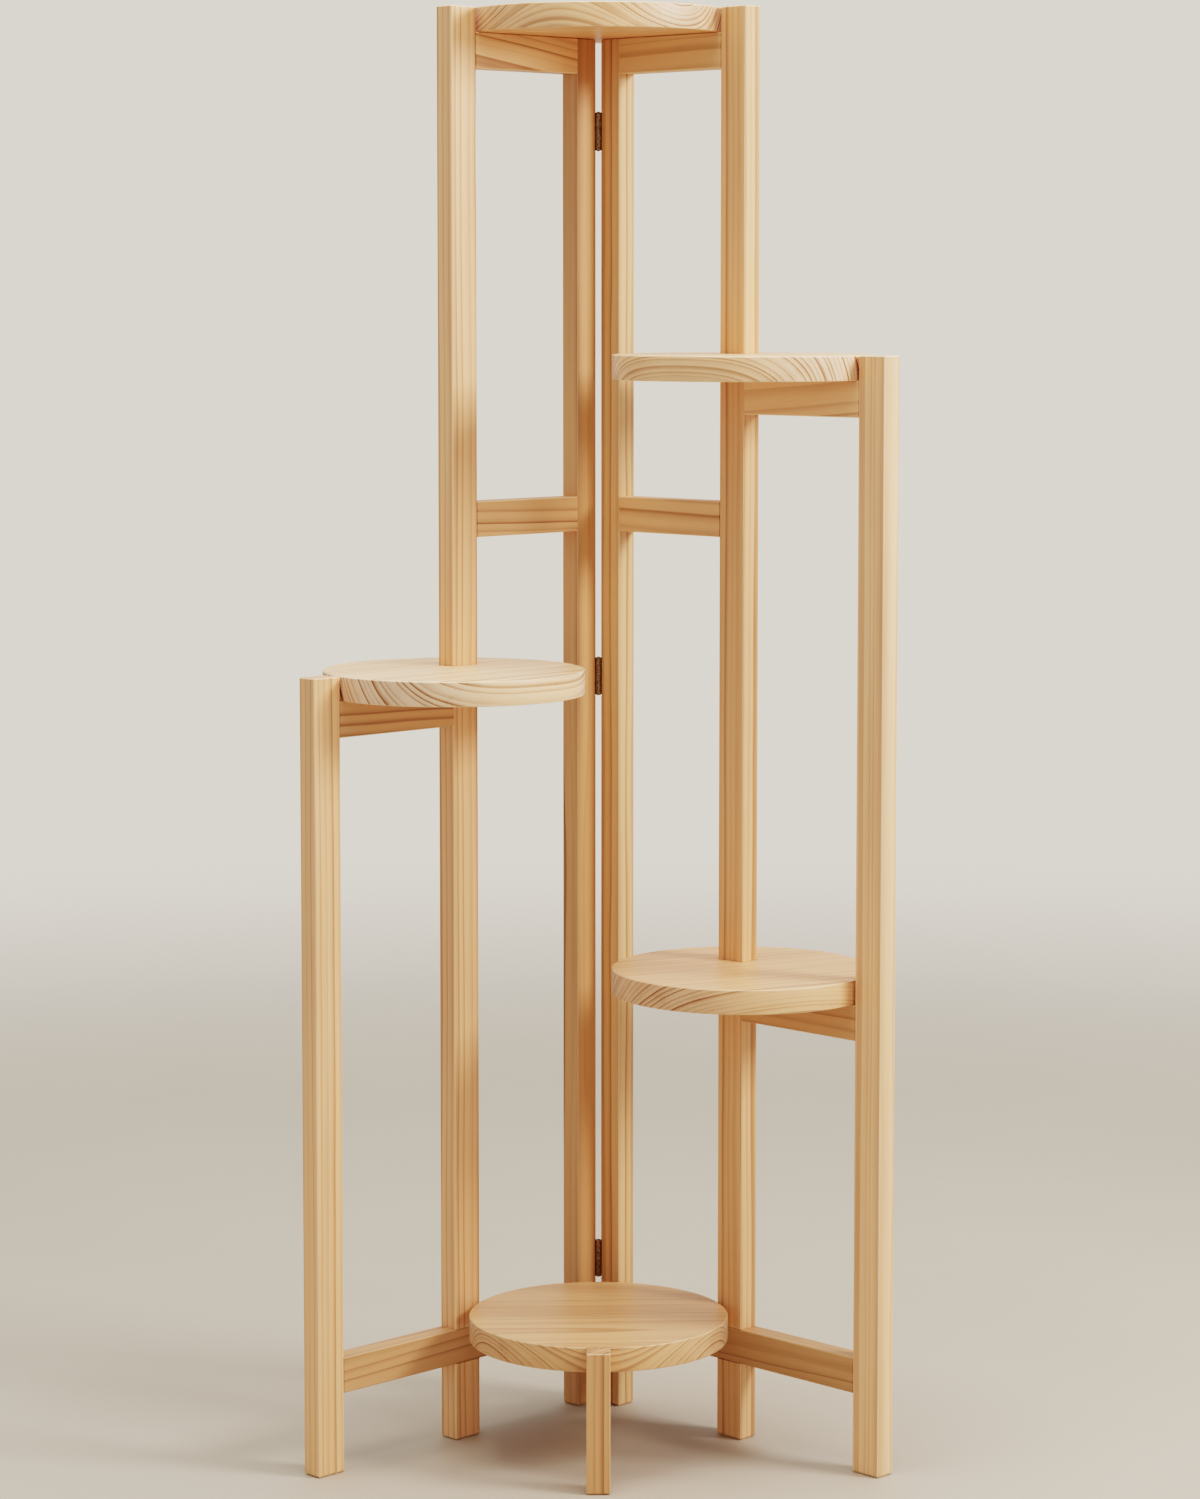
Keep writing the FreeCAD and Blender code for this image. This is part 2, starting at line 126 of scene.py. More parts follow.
# %% Helpers for node trees
def place(tree, kind, inputs=None, **settings):
    """Adds a node. inputs maps a socket's name or number to a value or another output."""
    made = tree.nodes.new(kind)
    for name, value in settings.items():
        setattr(made, name, value)
    for socket, value in (inputs or {}).items():
        if isinstance(value, bpy.types.NodeSocket):
            tree.links.new(value, made.inputs[socket])
        else:
            made.inputs[socket].default_value = value
    return made


def figure(tree, operation, *values, clamp=False):
    """One sum, with numbers or sockets."""
    return place(
        tree, "ShaderNodeMath", dict(enumerate(values)), operation=operation,
        use_clamp=clamp,
    ).outputs[0]


def vector_figure(tree, operation, *values):
    """One sum on vectors."""
    made = place(tree, "ShaderNodeVectorMath", dict(enumerate(values)), operation=operation)
    return made.outputs["Value" if operation == "LENGTH" else "Vector"]


def blend_colours(tree, share, first, second):
    """Mixes two colours; share 0 gives the first."""
    made = place(tree, "ShaderNodeMix", {0: share, 6: first, 7: second}, data_type="RGBA")
    return made.outputs[2]


def new_group(name, kind, sockets, results):
    """An empty node group with named inputs and outputs."""
    group = bpy.data.node_groups.new(name, kind)
    for label, socket_type, value in sockets:
        socket = group.interface.new_socket(label, in_out="INPUT", socket_type=socket_type)
        if value is not None:
            socket.default_value = value
    for label, socket_type in results:
        group.interface.new_socket(label, in_out="OUTPUT", socket_type=socket_type)
    given = group.nodes.new("NodeGroupInput").outputs
    return group, given, group.nodes.new("NodeGroupOutput")


print("helpers for shader trees and geometry trees are ready")

# %% [markdown]
# ## Pine, cut from a trunk
#
# A pine board shows the growth rings of its trunk: pale wood grown in spring, which
# darkens through the summer and stops at a thin brown line. On a board's faces the rings
# are long stripes, and on its ends and round a shelf's rim they are slanting arcs. Wave
# and noise textures can draw stripes on each face, but then the faces do not meet.
#
# Here the trunk itself is modelled. A point of a board is measured in millimetres from
# the pith: first along the grain, then across it. Its distance from the pith says which
# ring it is in, and every face, end and rim that cuts through the trunk shows the right
# pattern by itself. Slow noise bends the rings, as a tree does.

# %% How far a point is from the pith
BEND_RATE = (0.0032, 0.016, 0.016)  # slow along the grain, quicker across it
ACROSS_GRAIN = (0.0, 1.0, 1.0)


def grain_noise(tree, spot, rate, detail, roughness, seed=None):
    """Noise with a rate per millimetre along the grain and two across it."""
    inputs = {
        "Vector": vector_figure(tree, "MULTIPLY", spot, rate),
        "Scale": 1.0, "Detail": detail, "Roughness": roughness,
    }
    if seed is not None:
        inputs["W"] = seed
    return place(
        tree, "ShaderNodeTexNoise", inputs, noise_dimensions="3D" if seed is None else "4D"
    ).outputs


def distance_from_pith(tree, given):
    """A point's distance from the pith, with the tree's bends added."""
    bends = grain_noise(tree, given["Place"], BEND_RATE, 2.0, 0.45, given["Tree"])["Color"]
    bends = vector_figure(tree, "SUBTRACT", bends, (0.5, 0.5, 0.5))
    reach = figure(tree, "MULTIPLY", given["Wander"], 2.0)
    bends = place(
        tree, "ShaderNodeVectorMath", {0: bends, "Scale": reach}, operation="SCALE"
    ).outputs[0]
    bent = vector_figure(tree, "ADD", given["Place"], bends)
    flat = vector_figure(tree, "MULTIPLY", bent, ACROSS_GRAIN)
    return vector_figure(tree, "LENGTH", flat)


print("bends repeat about every", round(1 / BEND_RATE[1]), "mm across the grain")

# %% [markdown]
# ## One year of growth
#
# A colour ramp holds one year, from one brown line to the next. Good and poor years make
# wide and narrow rings, so a little noise is added to the count of years. Each year's
# line also gets a strength of its own, from white noise on the year's number.

# %% One year of growth
# (time of the year, darkness)
RING_PROFILE = (
    (0.0, 0.25), (0.06, 0.0), (0.40, 0.08), (0.68, 0.40), (0.86, 1.0), (0.95, 1.0),
    (1.0, 0.25),
)
LUCK_RATE = 0.40  # per ring
LUCK_REACH = 2.0  # rings
FAINTEST_LINE = 0.25
LINES_DIFFER = 0.8


def summer_wood(tree, given):
    """How dark the ring is at a point, from 0 in spring to about 1 at the brown line."""
    years = figure(tree, "DIVIDE", distance_from_pith(tree, given), given["Ring Width"])
    spell = figure(tree, "ADD", figure(tree, "MULTIPLY", years, LUCK_RATE), given["Tree"])
    luck = place(
        tree, "ShaderNodeTexNoise", {"W": spell, "Scale": 1.0}, noise_dimensions="1D"
    ).outputs[0]
    years = figure(tree, "ADD", years, figure(tree, "MULTIPLY", luck, LUCK_REACH))
    profile = place(tree, "ShaderNodeValToRGB", {0: figure(tree, "FRACT", years)})
    ramp = profile.color_ramp.elements
    while len(ramp) < len(RING_PROFILE):
        ramp.new(0.5)
    for stop, (position, shade) in zip(ramp, RING_PROFILE):
        stop.position = position
        stop.color = (shade, shade, shade, 1)
    year = figure(tree, "ADD", figure(tree, "FLOOR", years), given["Tree"])
    strength = place(
        tree, "ShaderNodeTexWhiteNoise", {"W": year}, noise_dimensions="1D"
    ).outputs[0]
    strength = figure(tree, "MULTIPLY_ADD", strength, LINES_DIFFER, FAINTEST_LINE)
    return figure(tree, "MULTIPLY", profile.outputs[0], strength)


print("a year's colour ramp has", len(RING_PROFILE), "stops")

# %% [markdown]
# ## Cut ends
#
# Where a board is cut across its fibres, the wood looks drier and greyer, its lines are
# harder and it is rougher. The surface's direction tells how much of an end it is, which
# also fades the look in and out round a shelf's rim.

# %% Cut ends
# how much of the surface's direction is lengthwise
END_STARTS, END_IS_FULL = 0.35, 0.95
END_GRAIN_TINT = (0.92, 1.02, 1.22)


def end_grain(tree, given):
    """1 where the board is cut across its grain, and 0 along it."""
    lengthwise = place(tree, "ShaderNodeSeparateXYZ", {0: given["Facing"]}).outputs[0]
    return place(
        tree,
        "ShaderNodeMapRange",
        {0: figure(tree, "ABSOLUTE", lengthwise), 1: END_STARTS, 2: END_IS_FULL, 3: 0.0,
         4: 1.0},
        interpolation_type="SMOOTHSTEP",
    ).outputs[0]


print("end grain fades in from", END_STARTS, "to", END_IS_FULL)

# %% [markdown]
# ## The growth rings' group
#
# One number decides the colour: the share of brown summer wood in the pale spring wood.
# The year's line gives most of it. Fibres, which are thin streaks along the grain, and
# clouds, which make a board lighter here and darker there, add to it and take from it.

# %% The growth rings
FIBRE_RATE = (0.018, 1.1, 1.1)
CLOUD_RATE = (0.0035, 0.055, 0.055)
# how much each shows on a face, and how much more at a cut end
LINES_SHOW, LINES_SHOW_AT_END = 0.75, 0.50
FIBRES_SHOW, FIBRES_SHOW_AT_END = 0.30, 0.45
CLOUDS_SHOW = 0.55
END_IS_DARKER = 0.05
END_IS_DRIER = 0.6
# the roughness of spring wood, and what fibres, summer wood and cut ends add to it
SATIN = 0.36
FIBRES_ROUGHEN, SUMMER_ROUGHENS, END_ROUGHENS = 0.16, -0.08, 0.12


def growth_rings():
    """The group that gives every board its colour, roughness and relief."""
    tree, given, result = new_group(
        "growth_rings",
        "ShaderNodeTree",
        (
            ("Place", "NodeSocketVector", None),
            ("Facing", "NodeSocketVector", None),
            ("Ring Width", "NodeSocketFloat", 5.0),
            ("Wander", "NodeSocketFloat", 5.0),
            ("Line Strength", "NodeSocketFloat", 0.6),
            ("Tree", "NodeSocketFloat", 0.0),
            ("Spring Wood", "NodeSocketColor", (0.8, 0.6, 0.4, 1)),
            ("Summer Wood", "NodeSocketColor", (0.5, 0.3, 0.1, 1)),
        ),
        (
            ("Colour", "NodeSocketColor"),
            ("Roughness", "NodeSocketFloat"),
            ("Height", "NodeSocketFloat"),
        ),
    )
    late = summer_wood(tree, given)
    fibres = grain_noise(tree, given["Place"], FIBRE_RATE, 3.0, 0.6)[0]
    clouds = grain_noise(tree, given["Place"], CLOUD_RATE, 1.0, 0.5, given["Tree"])[0]
    end = end_grain(tree, given)
    share = figure(tree, "MULTIPLY", late, given["Line Strength"])
    lines = figure(tree, "MULTIPLY_ADD", end, LINES_SHOW_AT_END, LINES_SHOW)
    share = figure(tree, "MULTIPLY", share, lines)
    grit = figure(tree, "MULTIPLY_ADD", end, FIBRES_SHOW_AT_END, FIBRES_SHOW)
    share = figure(tree, "MULTIPLY_ADD", figure(tree, "SUBTRACT", fibres, 0.5), grit, share)
    clouds = figure(tree, "SUBTRACT", clouds, 0.5)
    share = figure(tree, "MULTIPLY_ADD", clouds, CLOUDS_SHOW, share)
    share = figure(tree, "MULTIPLY_ADD", end, END_IS_DARKER, share, clamp=True)
    dry = vector_figure(tree, "MULTIPLY", given["Spring Wood"], END_GRAIN_TINT)
    dryness = figure(tree, "MULTIPLY", end, END_IS_DRIER)
    ground = blend_colours(tree, dryness, given["Spring Wood"], dry)
    colour = blend_colours(tree, share, ground, given["Summer Wood"])
    rough = figure(tree, "MULTIPLY_ADD", fibres, FIBRES_ROUGHEN, SATIN)
    rough = figure(tree, "MULTIPLY_ADD", late, SUMMER_ROUGHENS, rough)
    rough = figure(tree, "MULTIPLY_ADD", end, END_ROUGHENS, rough)
    height = figure(tree, "MULTIPLY_ADD", fibres, 0.5, figure(tree, "MULTIPLY", late, 0.5))
    for label, output in (("Colour", colour), ("Roughness", rough), ("Height", height)):
        tree.links.new(output, result.inputs[label])
    return tree


GROWTH_RINGS = growth_rings()
print("growth rings:", len(GROWTH_RINGS.nodes), "nodes")

# %% [markdown]
# ## Painted highlights on eased edges
#
# A joiner breaks every sharp edge of a post with one stroke of a block plane or of
# sandpaper. Such an edge catches the light in a thin bright line, which is painted here as
# a highlight of pale wood colour over the eased edges. An edge could be
# found by its distance from the corners. It is simpler to ask which way the surface
# faces: a post's faces look straight along one of the board's directions, and only its
# eased edges look between two of them. A round shelf's rim looks every way, so for it
# only the lean between rim and top counts.

# %% Painted highlights on eased edges
STRAIGHT, LEANING = 0.99, 0.80  # cosines where the pale wood starts and is full


def painted_edge_highlights():
    """The group that paints a pale highlight over a board's eased edges."""
    tree, given, result = new_group(
        "painted_edge_highlights",
        "ShaderNodeTree",
        (
            ("Colour", "NodeSocketColor", (0.8, 0.6, 0.4, 1)),
            ("Facing", "NodeSocketVector", None),
            ("Round", "NodeSocketFloat", 0.0),
            ("Painted Highlight", "NodeSocketColor", (0.9, 0.7, 0.5, 1)),
            ("Amount", "NodeSocketFloat", 0.5),
        ),
        (("Colour", "NodeSocketColor"),),
    )
    x, y, z = (
        figure(tree, "ABSOLUTE", output)
        for output in place(tree, "ShaderNodeSeparateXYZ", {0: given["Facing"]}).outputs
    )
    straight = figure(tree, "MAXIMUM", figure(tree, "MAXIMUM", x, y), z)
    flat = vector_figure(tree, "MULTIPLY", given["Facing"], (1.0, 1.0, 0.0))
    turned = figure(tree, "MAXIMUM", vector_figure(tree, "LENGTH", flat), z)
    best = place(
        tree,
        "ShaderNodeMix",
        {0: given["Round"], 2: straight, 3: turned},
        data_type="FLOAT",
    ).outputs[0]
    lean = place(
        tree, "ShaderNodeMapRange", {0: best, 1: STRAIGHT, 2: LEANING, 3: 0.0, 4: 1.0}
    ).outputs[0]
    share = figure(tree, "MULTIPLY", lean, given["Amount"])
    colour = blend_colours(tree, share, given["Colour"], given["Painted Highlight"])
    tree.links.new(colour, result.inputs["Colour"])
    return tree


PAINTED_HIGHLIGHT_GROUP = painted_edge_highlights()
print("eased edges:", len(PAINTED_HIGHLIGHT_GROUP.nodes), "nodes")

# %% [markdown]
# ## One board's material
#
# Each board is cut from its own place in a trunk. A Mapping node turns the piece's own
# coordinates so that the grain runs along the first one, and moves them so that the pith
# is at nought. The distance to the pith decides the look: a pith near a board's corner
# gives straight stripes on two faces, and one far below a shelf gives wide arches.

# %% The material of a board
SPRING = (0.873, 0.528, 0.295, 1)
SUMMER = (0.300, 0.095, 0.020, 1)
# the pale colour of the eased edges, a painted highlight
PAINTED_EDGE_HIGHLIGHT = (0.92, 0.70, 0.46, 1)
RELIEF_STRENGTH = 0.10
RELIEF_DEPTH = 0.2 * MM
OIL_COAT = 0.12
OIL_ROUGHNESS = 0.30


def tinted(colour, tone_and_painted_light):
    """A colour made lighter or darker, and warmer or cooler."""
    return (*(min(1.0, c * t) for c, t in zip(colour, tone_and_painted_light)), 1)


def pine(name, centre, grain, thick, pith, ring, wander, lines, seed, tone_and_painted_light, rounded=0.0):
    """Pine for one board. grain and thick are its directions; pith is in mm from centre."""
    material = bpy.data.materials.new(name)
    material.use_nodes = True
    tree = material.node_tree
    shader = tree.nodes["Principled BSDF"]
    turn = Matrix((grain, thick.cross(grain), thick))
    middle = turn @ (centre / MM)
    shift = (-middle.x, -middle.y - pith[0], -middle.z - pith[1])
    own = place(tree, "ShaderNodeTexCoord").outputs
    spot = place(
        tree,
        "ShaderNodeMapping",
        {"Vector": own["Object"], "Location": shift, "Rotation": turn.to_euler(),
         "Scale": (1 / MM,) * 3},
    ).outputs[0]
    facing = place(
        tree,
        "ShaderNodeMapping",
        {"Vector": own["Normal"], "Rotation": turn.to_euler()},
        vector_type="VECTOR",
    ).outputs[0]
    rings = place(tree, "ShaderNodeGroup", node_tree=GROWTH_RINGS)
    # the tint is partly the board's own tone and partly painted light and shade
    for label, value in (
        ("Ring Width", ring), ("Wander", wander), ("Line Strength", lines), ("Tree", seed),
        ("Spring Wood", tinted(SPRING, tone_and_painted_light)), ("Summer Wood", tinted(SUMMER, tone_and_painted_light)),
    ):
        rings.inputs[label].default_value = value
    tree.links.new(spot, rings.inputs["Place"])
    tree.links.new(facing, rings.inputs["Facing"])
    edges = place(tree, "ShaderNodeGroup", node_tree=PAINTED_HIGHLIGHT_GROUP)
    edges.inputs["Round"].default_value = rounded
    # the eased edges get a painted highlight
    edges.inputs["Painted Highlight"].default_value = tinted(PAINTED_EDGE_HIGHLIGHT, tone_and_painted_light)
    tree.links.new(rings.outputs["Colour"], edges.inputs["Colour"])
    tree.links.new(facing, edges.inputs["Facing"])
    relief = place(
        tree,
        "ShaderNodeBump",
        {"Strength": RELIEF_STRENGTH, "Distance": RELIEF_DEPTH,
         "Height": rings.outputs["Height"]},
    ).outputs[0]
    tree.links.new(edges.outputs["Colour"], shader.inputs["Base Color"])
    tree.links.new(rings.outputs["Roughness"], shader.inputs["Roughness"])
    tree.links.new(relief, shader.inputs["Normal"])
    shader.inputs["Coat Weight"].default_value = OIL_COAT
    shader.inputs["Coat Roughness"].default_value = OIL_ROUGHNESS
    return material


def middle_of(name):
    """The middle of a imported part's box."""
    low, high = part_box(name)
    return (low + high) / 2


def dress(name, material):
    """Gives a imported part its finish."""
    slots = nodes[name].material_slots
    for one in slots:
        one.material = material
    if not slots:
        nodes[name].data.materials.append(material)


print("spring wood", SPRING[:3], "summer wood", SUMMER[:3])

# %% [markdown]
# ## Posts
#
# The six posts stand with their grain upright. In the picture each face shows four or
# five straight lines, so the pith lies off one corner of the post, outside it. The back
# posts have wider rings that wander more, and the left one is more orange. Each board's
# tint makes it a little lighter, darker or warmer than the next. The tints are partly
# each board's own tone and partly painted light and shade: the right outer post is made
# lighter as painted light, and the right middle post darker as painted shade from the
# outer post.

# %% The posts
# name: (pith along the wing, pith across the wing, ring, wander, lines, tint)
POST_SEEDS_APART = 3.7
POSTS = {
    "left_outer_post": (52, 46, 5.2, 2.0, 0.85, (1.05, 1.03, 1.03)),
    "left_middle_post": (60, -50, 5.6, 2.4, 0.85, (1.04, 1.02, 1.02)),
    "left_back_post": (-34, -48, 8.5, 5.5, 0.85, (0.78, 0.725, 0.66)),
    "right_back_post": (40, -44, 7.5, 4.5, 0.80, (0.92, 0.94, 0.91)),
    "right_middle_post": (-58, -52, 5.4, 2.6, 0.82, (0.98, 0.95, 0.92)),
    "right_outer_post": (66, -44, 5.0, 1.8, 0.80, (1.13, 1.17, 1.23)),
}
for number, (name, wood) in enumerate(POSTS.items()):
    along, across, ring, wander, lines, tone_and_painted_light = wood
    side = name.split("_")[0]
    dress(name, pine(
        name + "_pine", middle_of(name), UP, INWARD[side], (along, across),
        ring, wander, lines, POST_SEEDS_APART * number, tone_and_painted_light,
    ))
print("posts dressed:", len(POSTS))

# %% [markdown]
# ## Rails
#
# The rails lie between the posts with their grain along the wing. Two or three wide
# stripes wander along each, so their rings are wide and bend more. In some boards the
# grain leans by a few degrees, and the stripes run out over an edge. The tints make the
# lower rails darker and warmer than the posts, as painted shade under the shelves, and a
# few upper ones lighter, as painted light.

# %% The rails
# name: (pith up, pith across, lean in degrees, ring, wander, lines, tint)
FIRST_RAIL_SEED, RAIL_SEEDS_APART = 11.3, 4.1
RAILS = {
    "left_top_rail": (52, -34, 8.0, 8.0, 5.0, 0.95, (1.07, 1.09, 1.09)),
    "left_middle_rail": (-58, -30, 1.0, 8.5, 5.0, 1.0, (0.84, 0.79, 0.75)),
    "left_bottom_rail": (56, -40, -1.0, 9.0, 5.0, 0.65, (0.76, 0.70, 0.65)),
    "left_shelf_rail": (-48, -36, 1.5, 9.0, 5.0, 0.90, (0.85, 0.82, 0.77)),
    "right_top_rail": (50, -38, 1.5, 9.0, 4.0, 0.85, (0.97, 1.02, 1.0)),
    "right_middle_rail": (-54, -32, -1.5, 8.0, 5.0, 0.90, (0.99, 0.975, 0.95)),
    "right_bottom_rail": (52, -42, 1.0, 9.0, 5.0, 0.65, (0.74, 0.70, 0.64)),
    "right_upper_shelf_rail": (-50, -40, 5.0, 12.0, 6.0, 0.90, (1.11, 1.17, 1.20)),
    "right_lower_shelf_rail": (46, -38, -1.0, 9.0, 5.0, 1.0, (0.82, 0.775, 0.71)),
}
for number, (name, wood) in enumerate(RAILS.items()):
    up, across, lean, ring, wander, lines, tone_and_painted_light = wood
    side = name.split("_")[0]
    grain = (ALONG[side] + math.tan(math.radians(lean)) * UP).normalized()
    dress(name, pine(
        name + "_pine", middle_of(name), grain, INWARD[side], (up, across),
        ring, wander, lines, FIRST_RAIL_SEED + RAIL_SEEDS_APART * number, tone_and_painted_light,
    ))
print("rails dressed:", len(RAILS))

# %% [markdown]
# ## The front leg and its dowels
#
# The short square leg is glued and dowelled to the bottom shelf's rim, with its end grain
# showing at the top. Its wood is that of the posts. The dowels inside are beech, which is
# finer, so their rings are close and faint.

# %% The front leg
# the leg's darker tint is painted shade, as on the stand's other low parts
dress("front_leg", pine(
    "front_leg_pine", middle_of("front_leg"), UP, Vector((0, -1, 0)), (46, -40),
    5.5, 2.0, 0.8, 71.0, (0.84, 0.775, 0.71),
))
dress("front_leg_dowels", pine(
    "dowel_wood", middle_of("front_leg_dowels"), Vector((0, 1, 0)), UP, (20, -30),
    1.5, 1.0, 0.30, 5.0, (1.02, 1.0, 0.96),
))
print("front leg and dowels dressed")

# %% [markdown]
# ## Round shelves
#
# Five equal boards, turned to a circle with a softly rounded edge. They could be
# cylinders with a Bevel modifier. Geometry Nodes make them here, because one rule gives
# all five: take a cylinder with eleven rings of points, and move each ring onto a
# profile that curves over at the top and bottom. The side shelves also lose a mortise
# for their post and the bottom one a housing for its leg, which is one boolean with a
# box.

# %% The board of a round shelf
BOARD_RINGS = 10  # steps between the rings of points
FLANK_SHARE = 0.2  # of half the thickness; the points up to here make the straight flank


def eased_board(tree, given):
    """A round board, rounded over at its top and bottom edges."""
    board = place(
        tree,
        "GeometryNodeMeshCylinder",
        {"Vertices": given["Sides"], "Side Segments": BOARD_RINGS,
         "Radius": given["Radius"], "Depth": given["Thickness"]},
        fill_type="NGON",
    ).outputs["Mesh"]
    here = place(tree, "GeometryNodeInputPosition").outputs[0]
    x, y, z = place(tree, "ShaderNodeSeparateXYZ", {0: here}).outputs
    half = figure(tree, "DIVIDE", given["Thickness"], 2.0)
    flank = figure(tree, "SUBTRACT", half, given["Ease"])
    share = figure(tree, "DIVIDE", figure(tree, "ABSOLUTE", z), half)
    past = figure(tree, "SUBTRACT", share, FLANK_SHARE)
    over = figure(tree, "DIVIDE", past, 1 - FLANK_SHARE, clamp=True)
    bend = figure(tree, "MULTIPLY", over, math.radians(90))
    rim = figure(tree, "SUBTRACT", given["Radius"], given["Ease"])
    rim = figure(tree, "MULTIPLY_ADD", figure(tree, "COSINE", bend), given["Ease"], rim)
    shrink = figure(tree, "DIVIDE", rim, given["Radius"])
    level = figure(tree, "MULTIPLY_ADD", figure(tree, "SINE", bend), given["Ease"], flank)
    level = figure(tree, "MULTIPLY", level, figure(tree, "SIGN", z))
    moved = place(
        tree,
        "ShaderNodeCombineXYZ",
        {0: figure(tree, "MULTIPLY", x, shrink), 1: figure(tree, "MULTIPLY", y, shrink),
         2: level},
    ).outputs[0]
    board = place(
        tree, "GeometryNodeSetPosition", {"Geometry": board, "Position": moved}
    ).outputs[0]
    return place(
        tree, "GeometryNodeTransform", {"Geometry": board, "Translation": given["Centre"]}
    ).outputs[0]


print("a shelf has", BOARD_RINGS + 1, "rings of points")

# %% [markdown]
# ## Steps that two trees share
#
# The shelves and the screws are made by two trees that have their last steps in common.
# Both are cut by a second solid, with the exact solver, which gives closed meshes. A
# Switch takes the plain board or the cut one, and the slot or the cross. Both trees end
# by making instances real and giving them their material.


# %% Cutting, choosing and finishing
def cut_from(tree, whole, cutter):
    """A solid without what a second one takes away."""
    return place(
        tree,
        "GeometryNodeMeshBoolean",
        {"Mesh 1": whole, "Mesh 2": cutter},
        operation="DIFFERENCE",
        solver="EXACT",
    ).outputs["Mesh"]


def chosen(tree, switch, without, with_it):
    """One of two geometries."""
    return place(
        tree,
        "GeometryNodeSwitch",
        {"Switch": switch, "False": without, "True": with_it},
        input_type="GEOMETRY",
    ).outputs[0]


def finished(tree, given, made, result):
    """Ends a tree: real geometry, with its material."""
    made = place(tree, "GeometryNodeRealizeInstances", {0: made}).outputs[0]
    made = place(
        tree, "GeometryNodeSetMaterial", {0: made, "Material": given["Finish"]}
    ).outputs[0]
    tree.links.new(made, result.inputs[0])


print("steps: cut_from, chosen, finished")

# %% [markdown]
# ## Smooth rims and crisp corners
#
# A turned rim looks smooth, while the flat faces meet it in a soft line and a mortise has
# crisp corners. Smooth shading on the whole board would smear the flat faces, so the
# faces that look straight up or down stay flat, and so do edges with a sharp angle.

# %% Smooth rims and crisp corners
LIES_FLAT = 0.999
CREASE = math.radians(30)


def shaded(tree, board):
    """Smooth on the rim and its eased edges, but not on flat faces or at corners."""
    normal = place(tree, "GeometryNodeInputNormal").outputs[0]
    up = place(tree, "ShaderNodeSeparateXYZ", {0: normal}).outputs[2]
    leaning = figure(tree, "LESS_THAN", figure(tree, "ABSOLUTE", up), LIES_FLAT)
    board = place(
        tree,
        "GeometryNodeSetShadeSmooth",
        {"Geometry": board, "Shade Smooth": leaning},
        domain="FACE",
    ).outputs[0]
    angle = place(tree, "GeometryNodeInputMeshEdgeAngle").outputs["Unsigned Angle"]
    crease = figure(tree, "GREATER_THAN", angle, CREASE)
    return place(
        tree,
        "GeometryNodeSetShadeSmooth",
        {"Geometry": board, "Selection": crease, "Shade Smooth": False},
        domain="EDGE",
    ).outputs[0]


print("edges sharper than", round(math.degrees(CREASE)), "degrees stay crisp")

# %% [markdown]
# ## One tree for five shelves
#
# The steps are put together in one tree. Its inputs are a shelf's sizes and, for the
# shelves that have one, the place, size and turn of the box that is cut out.


# %% The tree that makes a round shelf
def round_shelf_tree():
    """The geometry tree of all five shelves, with named sizes."""
    tree, given, result = new_group(
        "round_shelf",
        "GeometryNodeTree",
        (
            ("Centre", "NodeSocketVector", None),
            ("Radius", "NodeSocketFloat", 0.1),
            ("Thickness", "NodeSocketFloat", 0.02),
            ("Ease", "NodeSocketFloat", 0.001),
            ("Sides", "NodeSocketInt", 160),
            ("Has Hole", "NodeSocketBool", False),
            ("Hole Centre", "NodeSocketVector", None),
            ("Hole Size", "NodeSocketVector", None),
            ("Hole Turn", "NodeSocketFloat", 0.0),
            ("Finish", "NodeSocketMaterial", None),
        ),
        (("Geometry", "NodeSocketGeometry"),),
    )
    board = eased_board(tree, given)
    box = place(tree, "GeometryNodeMeshCube", {"Size": given["Hole Size"]}).outputs["Mesh"]
    turn = place(tree, "ShaderNodeCombineXYZ", {2: given["Hole Turn"]}).outputs[0]
    cutter = place(
        tree,
        "GeometryNodeTransform",
        {"Geometry": box, "Translation": given["Hole Centre"], "Rotation": turn},
    ).outputs[0]
    board = chosen(tree, given["Has Hole"], board, cut_from(tree, board, cutter))
    finished(tree, given, shaded(tree, board), result)
    return tree


ROUND_SHELF = round_shelf_tree()
print("round shelf tree:", len(ROUND_SHELF.nodes), "nodes")

# %% [markdown]
# ## Running a tree
#
# A tree runs as a modifier. Its inputs are set by their identifiers before the object is
# first evaluated, and what comes out is kept as a plain mesh without the modifier.


# %% Running a tree
def made_by(name, tree, values, points=None):
    """Runs a geometry tree on an object, and keeps what it makes as a plain mesh."""
    start = bpy.data.meshes.new(name + "_points")
    if points:
        start.from_pydata(points, [], [])
    piece = bpy.data.objects.new(name, start)
    bpy.context.scene.collection.objects.link(piece)
    maker = piece.modifiers.new("maker", "NODES")
    maker.node_group = tree
    for socket in tree.interface.items_tree:
        if socket.in_out == "INPUT" and socket.name in values:
            maker[socket.identifier] = values[socket.name]
    seen = piece.evaluated_get(bpy.context.evaluated_depsgraph_get())
    mesh = bpy.data.meshes.new_from_object(seen)
    piece.modifiers.remove(maker)
    piece.data = mesh
    return piece


print("a tree's result is kept as a plain mesh")

# %% [markdown]
# ## The five shelves
#
# Every shelf's grain runs its own way, as its rim tells: where the rim shows long level
# lines the grain runs beside it, and where it shows tight slanting ones the rim cuts the
# grain's ends. The left shelf's grain follows its wing, and the right upper one's nearly
# does. The right lower one's is nearer to across its wing, and the top and bottom ones'
# run roughly from side to side. The arcs on a rim arch up when the pith was below the
# board, and sag when it was above.

# %% The five shelves
SHELF_EASE = 1.2 * MM
MORTISE_FIT = 0.5 * MM
HOUSING_FIT = 0.1 * MM
